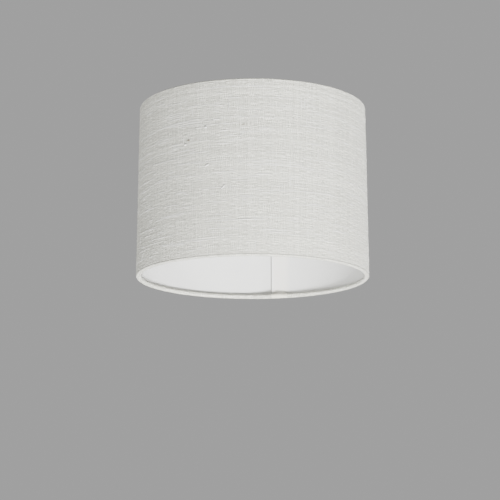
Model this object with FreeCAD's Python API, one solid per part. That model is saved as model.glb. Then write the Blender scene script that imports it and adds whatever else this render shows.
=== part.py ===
import FreeCAD, Part
import math
import os

# Drum lamp shade: slubbed linen laminated to a plastic liner, rolled over two wire rings and carried
# by a three-armed fitter. Millimetres. +Z is up, the origin is at the middle of the bottom rim, where
# the shade rests when it stands on a table, and the seam is at the back, just right of +Y.

# Overall sizes, measured outside the linen
height = 150.0
bottom_diameter = 200.0
top_diameter = 196.5

# Sheets and films
linen_t = 0.42
liner_t = 0.3
glue_t = 0.12
tape_t = 0.1

# Rings and the edging tape wrapped round them
ring_wire_d = 2.2
ring_tape_t = 0.15
wrap_gap = 0.1

# Rolled hems: the linen goes round the wrapped ring and its edge is tucked in behind
tuck_gap = 0.1

# Lapped seam: the outer end of the laminated panel lies over the inner end
seam_azimuth = 75.5
lap_width = 15.0
fold_width = 11.0
ramp_width = 24.0
seam_tape_width = 9.0
end_gap = 0.1
foot_height = 1.0

# Fitter: a flat washer for an E27 lampholder, hung on three bent wire arms
fitter_bore_d = 42.0
fitter_outer_d = 62.0
fitter_t = 1.5
fitter_edge_r = 0.4
fitter_drop = 24.0
arm_count = 3
first_arm_azimuth = 30.0
arm_wire_d = 2.4
arm_reach = 12.0
arm_bend_r = 7.0
arm_slope = 50.0
slit_gap = 0.25
spade_width = 4.2
spade_t = 1.4
spade_overlap = 3.5
spade_sink = 0.15
spade_neck = 4.0

# Places that follow from the sizes above
ring_r = ring_wire_d / 2
roll_in_r = ring_r + wrap_gap + ring_tape_t + glue_t
roll_out_r = roll_in_r + linen_t
liner_out_depth = linen_t + glue_t
liner_in_depth = liner_out_depth + liner_t
ring_depth = liner_in_depth + roll_in_r
ring_level = roll_out_r
arm_start = 0.6 * ring_r
lap_lift = tape_t + linen_t + tape_t + liner_t + glue_t + linen_t + 3 * glue_t

origin = FreeCAD.Vector(0, 0, 0)
z_axis = FreeCAD.Vector(0, 0, 1)


def wall_r(z):
    """Outside radius of the linen at a height."""
    return (bottom_diameter + (top_diameter - bottom_diameter) * z / height) / 2


def width_angle(width):
    """Degrees that a width round the wall takes up, at the bottom rim."""
    return math.degrees(width / (bottom_diameter / 2))


# The inner end of the panel stops at lap_start, and the folded outer end at lap_end.
lap_start = seam_azimuth + width_angle(lap_width) / 2
lap_end = seam_azimuth - width_angle(lap_width) / 2
ramp_start = lap_start + width_angle(ramp_width)
panel_sweep = 360.0 - width_angle(ramp_width)


def polar(r, azimuth, z):
    a = math.radians(azimuth)
    return FreeCAD.Vector(r * math.cos(a), r * math.sin(a), z)


def section(r, z):
    """A point of a profile in the XZ plane."""
    return FreeCAD.Vector(r, 0, z)


def closed_face(edges):
    return Part.Face(Part.Wire(Part.__sortEdges__(edges)))


def spun(face, azimuth=0.0, sweep=360.0):
    """The solid that a profile in the XZ plane makes, turned about Z from one azimuth through a sweep."""
    turned = face.copy()
    turned.rotate(origin, z_axis, azimuth)
    return turned.revolve(origin, z_axis, sweep)


def shell_arc(out_depth, in_depth, z_low, z_high, azimuth, sweep):
    """A piece of wall between two depths under the linen's outside. A negative depth is outside it."""
    corners = [
        section(wall_r(z_low) - out_depth, z_low),
        section(wall_r(z_high) - out_depth, z_high),
        section(wall_r(z_high) - in_depth, z_high),
        section(wall_r(z_low) - in_depth, z_low),
    ]
    return spun(Part.Face(Part.makePolygon(corners + corners[:1])), azimuth, sweep)


def ramp_loft(profile, lift):
    """The solid that a profile makes from ramp_start to lap_start, while it rises smoothly by lift."""
    steps = 6
    wires = []
    for i in range(steps + 1):
        t = i / steps
        wire = profile(lift * t * t * (3 - 2 * t))
        wire.rotate(origin, z_axis, ramp_start + (lap_start - ramp_start) * t)
        wires.append(wire)
    return Part.makeLoft(wires, True, False)


def lapped(profile, end_gap_width):
    """Once round at the wall's own radius, up the ramp, and over the lap to short of the folded edge."""
    end = lap_end + width_angle(end_gap_width)
    return [
        spun(Part.Face(profile(0)), ramp_start, panel_sweep),
        ramp_loft(profile, lap_lift),
        spun(Part.Face(profile(lap_lift)), end, lap_start - end),
    ]


class Rim:
    """One end of the drum. Heights into the drum are measured from that end."""

    def __init__(self, at_top):
        self.at_top = at_top
        self.ring_radius = wall_r(self.z(ring_level)) - ring_depth
        self.edge_r = wall_r(self.z(ring_level))

    def z(self, depth):
        return height - depth if self.at_top else depth

    def point(self, r, depth):
        return section(r, self.z(depth))

    def round_ring(self, radius, angle):
        """A point on a circle about the ring's wire: 0 degrees faces the wall, 90 faces into the drum."""
        a = math.radians(angle)
        return self.point(
            self.ring_radius + radius * math.cos(a), ring_level + radius * math.sin(a)
        )

    def round_corner(self, radius, angle, lift):
        """A point on a circle about the centre of the hem's outer corner, moved out by lift."""
        a = math.radians(angle)
        return self.point(
            self.edge_r + lift - roll_out_r + radius * math.cos(a),
            ring_level + radius * math.sin(a),
        )

    def roll_arc(self, radius, first, last):
        middle = (first + last) / 2
        return Part.Arc(
            self.round_ring(radius, first),
            self.round_ring(radius, middle),
            self.round_ring(radius, last),
        ).toShape()

    def tuck_angle(self, radius):
        """How far round the ring a layer of that outer radius goes before it would meet the liner."""
        lean = abs(bottom_diameter - top_diameter) / 2 / height
        return math.degrees(math.acos((roll_in_r - tuck_gap - lean * radius) / radius))

    def hem_layer(self, radius, lift):
        """One face of the linen: from the wall, under the ring, up its inner side and in behind it."""
        bottom, end = 270.0, self.tuck_angle(roll_out_r)
        corner = [self.round_corner(radius, angle, lift) for angle in (0, -45, -90)]
        return [
            Part.Arc(*corner).toShape(),
            Part.LineSegment(corner[-1], self.round_ring(radius, bottom)).toShape(),
            self.roll_arc(radius, bottom, end),
        ]

    def hem_end(self):
        end = self.tuck_angle(roll_out_r)
        return Part.LineSegment(
            self.round_ring(roll_out_r, end), self.round_ring(roll_in_r, end)
        ).toShape()

    def hem_lap(self):
        """The second layer of linen on the inner side of the roll, where the panel's ends lap."""
        low, top_r = 200.0, roll_out_r + linen_t
        end = self.tuck_angle(top_r)
        return closed_face(
            [
                self.roll_arc(roll_out_r, low, end),
                Part.LineSegment(
                    self.round_ring(roll_out_r, end), self.round_ring(top_r, end)
                ).toShape(),
                self.roll_arc(top_r, end, low),
                Part.LineSegment(
                    self.round_ring(top_r, low), self.round_ring(roll_out_r, low)
                ).toShape(),
            ]
        )

    def ring(self):
        return Part.makeTorus(
            self.ring_radius, ring_r, FreeCAD.Vector(0, 0, self.z(ring_level)), z_axis
        )

    def ring_tape(self, open_angle):
        """Film round the ring's wire, left open by that angle each side of the drum's inside."""
        inside, outside = ring_r + wrap_gap, ring_r + wrap_gap + ring_tape_t
        if open_angle == 0:
            around = FreeCAD.Vector(0, 0, self.z(ring_level))
            inner, outer = [
                Part.makeTorus(self.ring_radius, radius, around, z_axis)
                for radius in (inside, outside)
            ]
            return outer.cut(inner)
        first, last = open_angle - 180, 180 - open_angle
        edges = [
            self.roll_arc(inside, first, last),
            Part.LineSegment(
                self.round_ring(inside, last), self.round_ring(outside, last)
            ).toShape(),
            self.roll_arc(outside, last, first),
            Part.LineSegment(
                self.round_ring(outside, first), self.round_ring(inside, first)
            ).toShape(),
        ]
        return spun(closed_face(edges))


bottom_rim = Rim(at_top=False)
top_rim = Rim(at_top=True)
wall_low = bottom_rim.z(ring_level)
wall_high = top_rim.z(ring_level)
lap_low = bottom_rim.z(ring_level + foot_height)
lap_high = top_rim.z(ring_level + foot_height)


def lap_arc(out_depth, in_depth, near_gap, width):
    """A layer of the lap, from near_gap short of the folded edge, that wide, towards lap_start."""
    azimuth = lap_end + width_angle(near_gap)
    return shell_arc(out_depth, in_depth, lap_low, lap_high, azimuth, width_angle(width))


def linen_profile(lift):
    """The whole linen in section, hem to hem, with its wall moved out by lift."""

    def wall(radius):
        return Part.LineSegment(
            bottom_rim.round_corner(radius, 0, lift), top_rim.round_corner(radius, 0, lift)
        ).toShape()

    return Part.Wire(
        [wall(roll_out_r)]
        + top_rim.hem_layer(roll_out_r, lift)
        + [top_rim.hem_end()]
        + top_rim.hem_layer(roll_in_r, lift)[::-1]
        + [wall(roll_in_r)]
        + bottom_rim.hem_layer(roll_in_r, lift)
        + [bottom_rim.hem_end()]
        + bottom_rim.hem_layer(roll_out_r, lift)[::-1]
    )


def liner_profile(lift):
    corners = [
        section(wall_r(wall_low) - liner_out_depth + lift, wall_low),
        section(wall_r(wall_high) - liner_out_depth + lift, wall_high),
        section(wall_r(wall_high) - liner_in_depth + lift, wall_high),
        section(wall_r(wall_low) - liner_in_depth + lift, wall_low),
    ]
    return Part.makePolygon(corners + corners[:1])


def linen_fold():
    """The outer end's margin, folded back under itself against the seam tape."""
    under = tape_t + glue_t
    return [
        lap_arc(-lap_lift, -under, 0, linen_t),
        lap_arc(-under - linen_t, -under, 0, fold_width),
    ]


def arm_azimuths():
    return [first_arm_azimuth + 360.0 * i / arm_count for i in range(arm_count)]


def arm_slits():
    """Round clearances through the top hem, one for each arm."""
    slits = []
    first, last = 2 * roll_out_r, arm_start - slit_gap
    for azimuth in arm_azimuths():
        start = polar(top_rim.ring_radius - first, azimuth, top_rim.z(ring_level))
        slits.append(
            Part.makeCylinder(
                arm_wire_d / 2 + slit_gap, first - last, start, polar(1, azimuth, 0)
            )
        )
    return slits


def make_linen_cover():
    sheet = lapped(linen_profile, 0)
    hem_laps = [
        spun(rim.hem_lap(), lap_end, width_angle(fold_width))
        for rim in (bottom_rim, top_rim)
    ]
    whole = sheet[0].fuse(sheet[1:] + linen_fold() + hem_laps)
    return whole.cut(arm_slits()).removeSplitter()


def make_liner_panel():
    sheet = lapped(liner_profile, linen_t + end_gap)
    return sheet[0].fuse(sheet[1:]).removeSplitter()


def make_seam_tape():
    """Between the inner end's linen and the folded margin."""
    return lap_arc(-tape_t - glue_t / 2, -glue_t / 2, linen_t, seam_tape_width)


def make_fold_tape():
    """Between the folded margin and the liner's outer end."""
    inside = -tape_t - 2 * glue_t - linen_t
    return lap_arc(inside - tape_t, inside, linen_t + end_gap, seam_tape_width)


def make_top_ring_tape():
    """The top ring's film stops short of the arms on both sides, all the way round."""
    reach = (arm_start - slit_gap) / (ring_r + wrap_gap + ring_tape_t)
    return top_rim.ring_tape(math.degrees(math.acos(reach)))


def filleted(points, radius):
    """A path of straight runs through the points, with a tangent arc of that radius at each corner."""
    edges, start = [], points[0]
    for before, corner, after in zip(points, points[1:], points[2:]):
        back = (before - corner).normalize()
        on = (after - corner).normalize()
        half = back.getAngle(on) / 2
        setback = radius / math.tan(half)
        middle = corner + (back + on).normalize() * (radius / math.sin(half) - radius)
        first, last = corner + back * setback, corner + on * setback
        edges.append(Part.LineSegment(start, first).toShape())
        edges.append(Part.Arc(first, middle, last).toShape())
        start = last
    edges.append(Part.LineSegment(start, points[-1]).toShape())
    return Part.Wire(edges)


fitter_top = height - fitter_drop
spade_tip = fitter_outer_d / 2 - spade_overlap
spade_level = fitter_top + spade_t / 2 - spade_sink
neck_start = fitter_outer_d / 2 + spade_neck


def arm_wire():
    """The round wire, out of the ring, down and in towards the washer, in the XZ plane."""
    level = top_rim.z(ring_level)
    start = top_rim.ring_radius - arm_start
    elbow = top_rim.ring_radius - arm_reach
    run = (level - spade_level) / math.tan(math.radians(arm_slope))
    bends = filleted(
        [
            section(start, level),
            section(elbow, level),
            section(elbow - run, spade_level),
            section(neck_start, spade_level),
        ],
        arm_bend_r,
    )
    end = Part.Wire(
        Part.makeCircle(arm_wire_d / 2, section(start, level), FreeCAD.Vector(1, 0, 0))
    )
    return bends.makePipeShell([end], True, True)


def flat_oval(r):
    """The wire's section where it is pressed flat."""
    oval = Part.Ellipse(section(r, spade_level), spade_width / 2, spade_t / 2)
    shape = oval.toShape()
    shape.rotate(section(r, spade_level), FreeCAD.Vector(1, 0, 0), 90)
    shape.rotate(section(r, spade_level), z_axis, 90)
    return Part.Wire(shape)


def arm_spade():
    """The wire's end, pressed flat and rounded, where it is welded on top of the washer."""
    neck_end = fitter_outer_d / 2
    circle = Part.makeCircle(
        arm_wire_d / 2, section(neck_start, spade_level), FreeCAD.Vector(1, 0, 0)
    )
    neck = Part.makeLoft([Part.Wire(circle), flat_oval(neck_end)], True, False)
    length = neck_end - spade_tip
    pad = Part.Face(flat_oval(neck_end)).extrude(FreeCAD.Vector(-length, 0, 0))
    tip = spade_tip + spade_width / 2
    low = spade_level - spade_t
    plan = Part.makeCylinder(spade_width / 2, 2 * spade_t, section(tip, low)).fuse(
        Part.makeBox(
            neck_end - tip,
            spade_width,
            2 * spade_t,
            FreeCAD.Vector(tip, -spade_width / 2, low),
        )
    )
    return [neck, pad.common(plan)]


def make_fitter_ring():
    blank = Part.makeCylinder(
        fitter_outer_d / 2, fitter_t, FreeCAD.Vector(0, 0, fitter_top - fitter_t)
    )
    blank = blank.makeFillet(
        fitter_edge_r, [e for e in blank.Edges if isinstance(e.Curve, Part.Circle)]
    )
    bore = Part.makeCylinder(
        fitter_bore_d / 2, 3 * fitter_t, FreeCAD.Vector(0, 0, fitter_top - 2 * fitter_t)
    )
    return blank.cut(bore)


def make_arms(ring, washer):
    arm = arm_wire().fuse(arm_spade()).removeSplitter()
    arms = {}
    for i, azimuth in enumerate(arm_azimuths(), 1):
        turned = arm.copy()
        turned.rotate(origin, z_axis, azimuth)
        arms[f"fitter_arm_{i}"] = turned.cut([ring, washer])
    return arms


def make_all():
    top_ring = top_rim.ring()
    fitter_ring = make_fitter_ring()
    return {
        "linen_cover": make_linen_cover(),
        "liner_panel": make_liner_panel(),
        "seam_tape": make_seam_tape(),
        "fold_tape": make_fold_tape(),
        "top_ring": top_ring,
        "bottom_ring": bottom_rim.ring(),
        "top_ring_tape": make_top_ring_tape(),
        "bottom_ring_tape": bottom_rim.ring_tape(0),
        "fitter_ring": fitter_ring,
        **make_arms(top_ring, fitter_ring),
    }


os.makedirs("parts", exist_ok=True)
for node, shape in make_all().items():
    sound = shape.isValid() and shape.Volume > 0
    box = shape.BoundBox
    print(
        f"{node:18} solids {len(shape.Solids)} valid {sound} volume {shape.Volume:9.2f} "
        f"z {box.ZMin:.2f} to {box.ZMax:.2f}, x {box.XMin:.2f} to {box.XMax:.2f}"
    )
    shape.exportStep(f"parts/{node}.step")
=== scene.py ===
# %% [markdown]
# A drum lamp shade in slubbed linen, built round a fixed frame.
# The frame is the shade's engineering model: wire rings, fitter, tapes and plastic liner are right as
# they are, and get real finishes. The linen in it is one plain solid, so it is replaced by cloth that
# is cut flat, wrapped, lapped and rolled over the rings as a shade maker does it.

import math
import random

import bmesh
import bpy
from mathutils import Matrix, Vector, noise


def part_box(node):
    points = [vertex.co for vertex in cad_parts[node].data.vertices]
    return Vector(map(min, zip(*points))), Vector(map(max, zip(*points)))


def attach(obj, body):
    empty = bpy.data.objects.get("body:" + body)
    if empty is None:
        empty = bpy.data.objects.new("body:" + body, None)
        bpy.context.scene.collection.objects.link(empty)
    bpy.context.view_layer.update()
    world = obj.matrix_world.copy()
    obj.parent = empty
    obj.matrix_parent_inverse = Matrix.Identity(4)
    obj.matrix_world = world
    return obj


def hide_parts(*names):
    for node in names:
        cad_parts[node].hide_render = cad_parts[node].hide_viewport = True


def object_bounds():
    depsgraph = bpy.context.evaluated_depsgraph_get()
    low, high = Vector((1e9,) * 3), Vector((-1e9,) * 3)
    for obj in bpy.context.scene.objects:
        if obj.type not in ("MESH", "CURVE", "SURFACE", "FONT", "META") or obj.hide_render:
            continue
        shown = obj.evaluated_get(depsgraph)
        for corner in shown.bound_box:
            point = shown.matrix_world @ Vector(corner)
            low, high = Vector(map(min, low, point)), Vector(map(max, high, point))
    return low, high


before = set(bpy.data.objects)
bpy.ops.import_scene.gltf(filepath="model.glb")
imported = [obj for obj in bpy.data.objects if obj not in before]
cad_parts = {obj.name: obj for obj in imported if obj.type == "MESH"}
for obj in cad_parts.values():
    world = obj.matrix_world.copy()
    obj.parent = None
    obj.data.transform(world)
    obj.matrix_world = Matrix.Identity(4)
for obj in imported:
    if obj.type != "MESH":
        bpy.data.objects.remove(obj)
cad_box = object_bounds()
bpy.ops.object.select_all(action="DESELECT")
print("frame nodes:", sorted(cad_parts))

# %% [markdown]
# The camera comes first, because everything else is judged through it. The shade is seen from a
# little below, as it would hang in a room: a long lens keeps its sides nearly straight, and the low
# eye shows the white liner through the open bottom.

# %% The camera, a little below the shade
bpy.ops.object.camera_add(location=(0, -1.6038, -0.3055))
camera = bpy.context.object
camera.rotation_euler = (math.radians(90) + 0.2033, 0.0, 0.0014)
camera.data.sensor_width = 36.0
camera.data.lens = 136.8
camera.data.clip_end = 50
bpy.context.scene.camera = camera
print("camera looks up by", round(math.degrees(camera.rotation_euler.x) - 90, 2), "degrees")

# %% [markdown]
# Materials are built from nodes. The same few lines come back for every node, so a helper does them:
# it adds a node, sets what it is told, and gives each input a wire or a value.

# %% A helper that adds a node
def add_node(tree, kind, wires=None, **settings):
    node = tree.nodes.new(kind)
    for name, value in settings.items():
        setattr(node, name, value)
    for socket, source in (wires or {}).items():
        if isinstance(source, bpy.types.NodeSocket):
            tree.links.new(source, node.inputs[socket])
        else:
            node.inputs[socket].default_value = source
    return node


print("node helper ready:", add_node.__name__)

# %% [markdown]
# A plain room: a wide pale floor well below the shade. It throws some light up under the rim, and a
# real floor would also show the panels' pools of light. A plain grey that only the camera sees is
# mixed over it, so it looks even and still lights the shade as a floor does.

# %% The floor
FLOOR_LEVEL = -1.8
FLOOR_GREY = 0.39
FLOOR_EVENNESS = 0.85

bpy.ops.mesh.primitive_plane_add(size=40, location=(0, 0, FLOOR_LEVEL))
floor = bpy.context.object
floor.name = "studio_floor"

floor_paint = bpy.data.materials.new("pale_floor")
floor_paint.use_nodes = True
floor.data.materials.append(floor_paint)
room = floor_paint.node_tree
floor_shader = room.nodes["Principled BSDF"]
floor_shader.inputs["Base Color"].default_value = (0.62, 0.62, 0.61, 1)
floor_shader.inputs["Roughness"].default_value = 0.9
floor_seen = add_node(room, "ShaderNodeEmission", {"Color": (FLOOR_GREY, FLOOR_GREY, FLOOR_GREY, 1)})
floor_ray = add_node(room, "ShaderNodeLightPath").outputs["Is Camera Ray"]
evenness = add_node(room, "ShaderNodeMath", {0: floor_ray, 1: FLOOR_EVENNESS}, operation="MULTIPLY")
even_floor = add_node(
    room,
    "ShaderNodeMixShader",
    {0: evenness.outputs[0], 1: floor_shader.outputs[0], 2: floor_seen.outputs[0]},
)
room.links.new(even_floor.outputs[0], room.nodes["Material Output"].inputs[0])
print("floor nodes", len(room.nodes))

# %% [markdown]
# A grey surrounds the room. The camera sees a plain grey, while the shade is lit by another of its
# own strength, so the background can be set without changing the light that falls on the linen.

# %% The surrounding grey
SKY_GREY = 0.405
SKY_LIGHT = 0.22

world = bpy.data.worlds.new("studio_grey")
bpy.context.scene.world = world
world.use_nodes = True
sky = world.node_tree
sky.nodes.clear()
seen = add_node(sky, "ShaderNodeBackground", {"Color": (SKY_GREY, SKY_GREY, SKY_GREY, 1)})
lighting = add_node(
    sky, "ShaderNodeBackground", {"Color": (0.98, 0.99, 1.0, 1), "Strength": SKY_LIGHT}
)
sky_ray = add_node(sky, "ShaderNodeLightPath").outputs["Is Camera Ray"]
choose = add_node(
    sky, "ShaderNodeMixShader", {0: sky_ray, 1: lighting.outputs[0], 2: seen.outputs[0]}
)
add_node(sky, "ShaderNodeOutputWorld", {0: choose.outputs[0]})
print("world nodes", len(sky.nodes))

# %% [markdown]
# Soft studio light. Three low panels in front shine up through the open bottom, so the liner is the
# brightest thing to be seen, and they fill the front of the cloth on the way. The big key panel and
# a weak one beside it stand on the right, and the left edge and the back have one each. Big panels
# give the slow, even change of tone that shows the drum is round, without hard shadows.

# %% Seven soft light panels
SHADE_MIDDLE = Vector((0, 0, 0.075))
LIGHT_PANELS = [
    # name, place, width, watts
    ("low_front_panel", (0.4, -1.4, -1.45), 0.45, 106),
    ("low_right_panel", (0.9, -1.25, -1.4), 0.4, 38),
    ("low_left_panel", (-0.9, -1.25, -1.4), 0.4, 16),
    ("key_panel", (2.1, -2.0, 1.1), 1.6, 57),
    ("right_panel", (2.7, -0.3, 0.4), 1.4, 12),
    ("left_edge_panel", (-2.4, 0.9, 0.3), 1.2, 50),
    ("back_panel", (0.9, 2.4, 1.2), 1.6, 62),
]
for name, place, width, watts in LIGHT_PANELS:
    bpy.ops.object.light_add(type="AREA", location=place)
    panel = bpy.context.object
    panel.name = name
    panel.data.size = width
    panel.data.energy = watts
    panel.rotation_euler = (SHADE_MIDDLE - Vector(place)).to_track_quat("-Z", "Y").to_euler()
    panel.visible_camera = False
print("light panels", len(LIGHT_PANELS))

# %% [markdown]
# Sizes that the pieces share, in metres. Heights and ring radii are read from the frame, so the
# cloth lands on the rings wherever the frame has them. Thicknesses are the shop's: linen of a little
# under half a millimetre, and a hairline of glue between layers.

# %% Shared sizes
LINEN_T = 0.00042
GLUE_T = 0.00012
RING_TAPE_T = 0.00015
WRAP_GAP = 0.0001
LINER_T = 0.0003
LAP_LIFT = 0.00182
LAP_WIDTH = 0.015
FOLD_WIDTH = 0.011
RAMP_WIDTH = 0.024
SEAM_AZIMUTH = math.radians(75.5)
ARM_AZIMUTHS = [math.radians(a) for a in (30, 150, 270)]

low_ring, high_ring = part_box("bottom_ring"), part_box("top_ring")
WIRE_R = (low_ring[1][2] - low_ring[0][2]) / 2
LOW_RING_R = low_ring[1][0] - WIRE_R
HIGH_RING_R = high_ring[1][0] - WIRE_R
HEIGHT = cad_box[1][2]
ROLL_IN_R = WIRE_R + WRAP_GAP + RING_TAPE_T + GLUE_T
ROLL_R = ROLL_IN_R + LINEN_T / 2
RING_LEVEL = ROLL_IN_R + LINEN_T
RING_DEPTH = LINEN_T + GLUE_T + LINER_T + ROLL_IN_R
LOW_R = LOW_RING_R + RING_DEPTH
HIGH_R = HIGH_RING_R + RING_DEPTH
ARM_WIRE_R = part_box("fitter_arm_1")[1][2] - (HEIGHT - RING_LEVEL)
print("wire", WIRE_R, "rings", LOW_RING_R, HIGH_RING_R, "height", HEIGHT, "walls", LOW_R, HIGH_R)


def wall_radius(z):
    """The linen's outside radius at a height."""
    return LOW_R + (HIGH_R - LOW_R) * (z - RING_LEVEL) / (HEIGHT - 2 * RING_LEVEL)


def smooth(t):
    t = min(max(t, 0.0), 1.0)
    return t * t * (3 - 2 * t)


# %% [markdown]
# The cloth's path in section, from one raw edge to the other: tucked in behind the top ring, over
# it, down the wall, under the bottom ring and in behind that. Each row of the flat cloth notes which
# part of this path it is on, where on that part, and how far along the cloth it is, so the weave can
# be laid on the flat cloth and goes round the hems by itself.

# %% The rows of the cloth
TUCK_GAP = 0.0001
ROLL_ROWS, CORNER_ROWS = 20, 10
FINEST_ROW, COARSEST_ROW, ROW_GROWTH = 0.00025, 0.0032, 1.32


def tuck_angle(radius):
    """The angle round the ring, in degrees, at which cloth of that middle radius meets the liner."""
    return math.degrees(math.acos((ROLL_IN_R - TUCK_GAP) / (radius + LINEN_T / 2)))


def wall_steps(length):
    """Heights up the wall, close together at both hems and even between them."""
    steps, step, total = [], FINEST_ROW, 0.0
    while step < COARSEST_ROW:
        total += step
        steps.append(total)
        step *= ROW_GROWTH
    even = round((length - 2 * total) / COARSEST_ROW)
    middle_steps = [total + (length - 2 * total) * i / even for i in range(1, even)]
    return steps + middle_steps + [length - v for v in reversed(steps)]


TUCK_END = tuck_angle(ROLL_R)


def hem_rows():
    """Rows from the wall to the raw edge: part of the path, angle or share, length from the wall."""
    rows = []
    for i in range(CORNER_ROWS + 1):
        rows.append(("corner", -90.0 * i / CORNER_ROWS, ROLL_R * math.pi / 2 * i / CORNER_ROWS))
    length = rows[-1][2] + RING_DEPTH - RING_LEVEL
    turn = 270.0 - TUCK_END
    for i in range(ROLL_ROWS + 1):
        share = i / ROLL_ROWS
        rows.append(("roll", share, length + ROLL_R * math.radians(turn) * share))
    return rows


HEM = hem_rows()
WALL_LENGTH = HEIGHT - 2 * RING_LEVEL
cloth_rows = [("low", *row[:2], -row[2]) for row in reversed(HEM)]
cloth_rows += [("wall", "wall", RING_LEVEL + rise, rise) for rise in wall_steps(WALL_LENGTH)]
cloth_rows += [("high", *row[:2], WALL_LENGTH + row[2]) for row in HEM]

# %% [markdown]
# The cloth's columns run round the drum. The panel's inner end lies on the drum, the outer end laps
# over it, and a margin is folded back under that end so that no raw edge shows. At each fitter arm
# the columns stand closer, with a narrow pair in the middle, so that the hem can be slit there and
# part round the wire.

# %% The columns of the cloth
LAP_END = SEAM_AZIMUTH - LAP_WIDTH / LOW_R / 2
LAP_START = SEAM_AZIMUTH + LAP_WIDTH / LOW_R / 2
TURN = 2 * math.pi
PANEL_WIDTH = TURN * LOW_R + LAP_WIDTH
COLUMN_STEP = 0.0018
SLIT_HALF = 0.0001
ARM_COLUMNS = (SLIT_HALF, 0.0009, 0.0017, 0.0026)
ARM_CLEAR = 0.0034
FOLD_COLUMNS, TURN_COLUMNS = 6, 4

arm_places = [((a - LAP_END) % TURN) * LOW_R for a in ARM_AZIMUTHS]
even_columns = round(PANEL_WIDTH / COLUMN_STEP)
places = [PANEL_WIDTH * i / even_columns for i in range(even_columns + 1)]
places = [p for p in places if all(abs(p - a) > ARM_CLEAR for a in arm_places)]
for a in arm_places:
    places += [a + side * d for side in (-1, 1) for d in ARM_COLUMNS]
places.sort()
fold_places = [-FOLD_WIDTH + FOLD_WIDTH * i / FOLD_COLUMNS for i in range(FOLD_COLUMNS)]
cloth_columns = [("fold", p) for p in fold_places]
cloth_columns += [("turn", (i + 0.5) / TURN_COLUMNS) for i in range(TURN_COLUMNS)]
cloth_columns += [("panel", p) for p in places]
print("columns", len(cloth_columns), "panel width", round(PANEL_WIDTH, 4))


# %% [markdown]
# A real shade is never a perfect cone. The cloth is lifted at the lap, where a second layer lies
# under it, it dips where the liner stops short of the ring, and the hem is rolled by hand, so its
# thickness and its raw edge vary a little. Each of these is a small function of the place along the
# panel or of the depth from the rim, so that they can be added up.

# %% The small unevennesses of a handmade shade
HEM_LIFT = 0.0005
HEM_RAMP = 0.005
HUMP_START, HUMP_RISE = 0.0015, 0.0045
HUMP_END, HUMP_FALL = 0.0065, 0.007
LOW_DIP, HIGH_DIP, DIP_WIDTH = 0.0005, 0.0001, 0.00036
SWELL, SWELL_DEPTH, SWELL_WIDTH = 0.00018, 0.0010, 0.0007


def lifted(place):
    """The share, 0 to 1, of the lap's lift that the wall and the hem have along the panel."""
    wall = smooth(1 - (place - LAP_WIDTH) / RAMP_WIDTH)
    hem = smooth(1 - (place - LAP_WIDTH) / HEM_RAMP)
    return wall, hem


def hem_noise(place, along):
    coarse = noise.noise(Vector((place * 90, along * 120, 9.1)))
    return noise.noise(Vector((place * 260, along * 300, 3.7))) + 0.6 * coarse


def rim_crease(depth, at_top=False):
    """The cloth dips where the liner stops short of the ring, and swells where it goes round it."""
    dip = HIGH_DIP if at_top else LOW_DIP
    dip *= math.exp(-(((depth - RING_LEVEL + 0.0001) / DIP_WIDTH) ** 2))
    return SWELL * math.exp(-(((depth - SWELL_DEPTH) / SWELL_WIDTH) ** 2)) - dip


def lap_hump(place):
    """Where the folded margin is rolled into the hem, it makes a hump beside the seam."""
    rise = smooth((place - HUMP_START) / HUMP_RISE)
    return rise * (1 - smooth((place - HUMP_END) / HUMP_FALL))


print("hem lift at the lap's end and past it:", [round(lifted(p)[1], 2) for p in (0.015, 0.0175, 0.02)])

# %% [markdown]
# Where a row and a column cross, the next functions give the place of the cloth's middle surface.
# First the section: the wall is a straight line, the corner and the roll are arcs round the ring.

# %% The cloth in section
WALL_RIPPLE, FINE_RIPPLE = 0.00013, 0.00005
RIPPLE_FADE = 0.02
HUMP_HEIGHT = 0.0006
HEM_BULGE = 0.00012
TUCK_OVERLAP, RAGGED_DEGREES = 15, 6


def wall_point(place, z, along, wall_lift):
    ripple = WALL_RIPPLE * noise.noise(Vector((place * 18, along * 14, 0.3)))
    ripple += FINE_RIPPLE * noise.noise(Vector((place * 120, along * 90, 5.3)))
    depth = min(z, HEIGHT - z)
    crease = rim_crease(depth, at_top=z > HEIGHT / 2)
    out = LAP_LIFT * wall_lift + ripple * smooth(depth / RIPPLE_FADE) + crease
    return wall_radius(z) - LINEN_T / 2 + out, z


def corner_point(ring_r, degrees, wall_lift, top):
    angle = math.radians(degrees)
    lift = LAP_LIFT * wall_lift * (1 - smooth(-math.sin(angle)))
    z = RING_LEVEL + ROLL_R * math.sin(angle)
    out = lift + rim_crease(z, at_top=top)
    return ring_r + RING_DEPTH - RING_LEVEL + (ROLL_R + out) * math.cos(angle), z


def roll_point(ring_r, place, share, along, hem_lift, top):
    """A point of the roll, at that share of the way from under the ring to the raw edge."""
    lifted_r = ROLL_R + HEM_LIFT * hem_lift
    hump = lap_hump(place) * smooth((share - 0.35) / 0.4)
    bulge = HEM_BULGE * hem_noise(place, along) * smooth(share * 3)
    radius = ROLL_R + HEM_LIFT * hem_lift * smooth(share * 1.8) + HUMP_HEIGHT * hump + bulge
    raggedness = RAGGED_DEGREES * noise.noise(Vector((place * 140, 2.2, 8.8 if top else 1.1)))
    end = tuck_angle(lifted_r + HUMP_HEIGHT * lap_hump(place)) + TUCK_OVERLAP + raggedness
    angle = math.radians(270 - (270 - end) * share)
    return ring_r + radius * math.cos(angle), RING_LEVEL + radius * math.sin(angle)


def section_point(row, place, wall_lift, hem_lift):
    """The radius and height of the cloth at a row, with a place along the panel for its noise."""
    part, kind, value, along = row
    if kind == "wall":
        return wall_point(place, value, along, wall_lift)
    top = part == "high"
    ring_r = HIGH_RING_R if top else LOW_RING_R
    if kind == "corner":
        r, z = corner_point(ring_r, value, wall_lift, top)
    else:
        r, z = roll_point(ring_r, place, value, along, hem_lift, top)
    return r, HEIGHT - z if top else z


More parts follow.
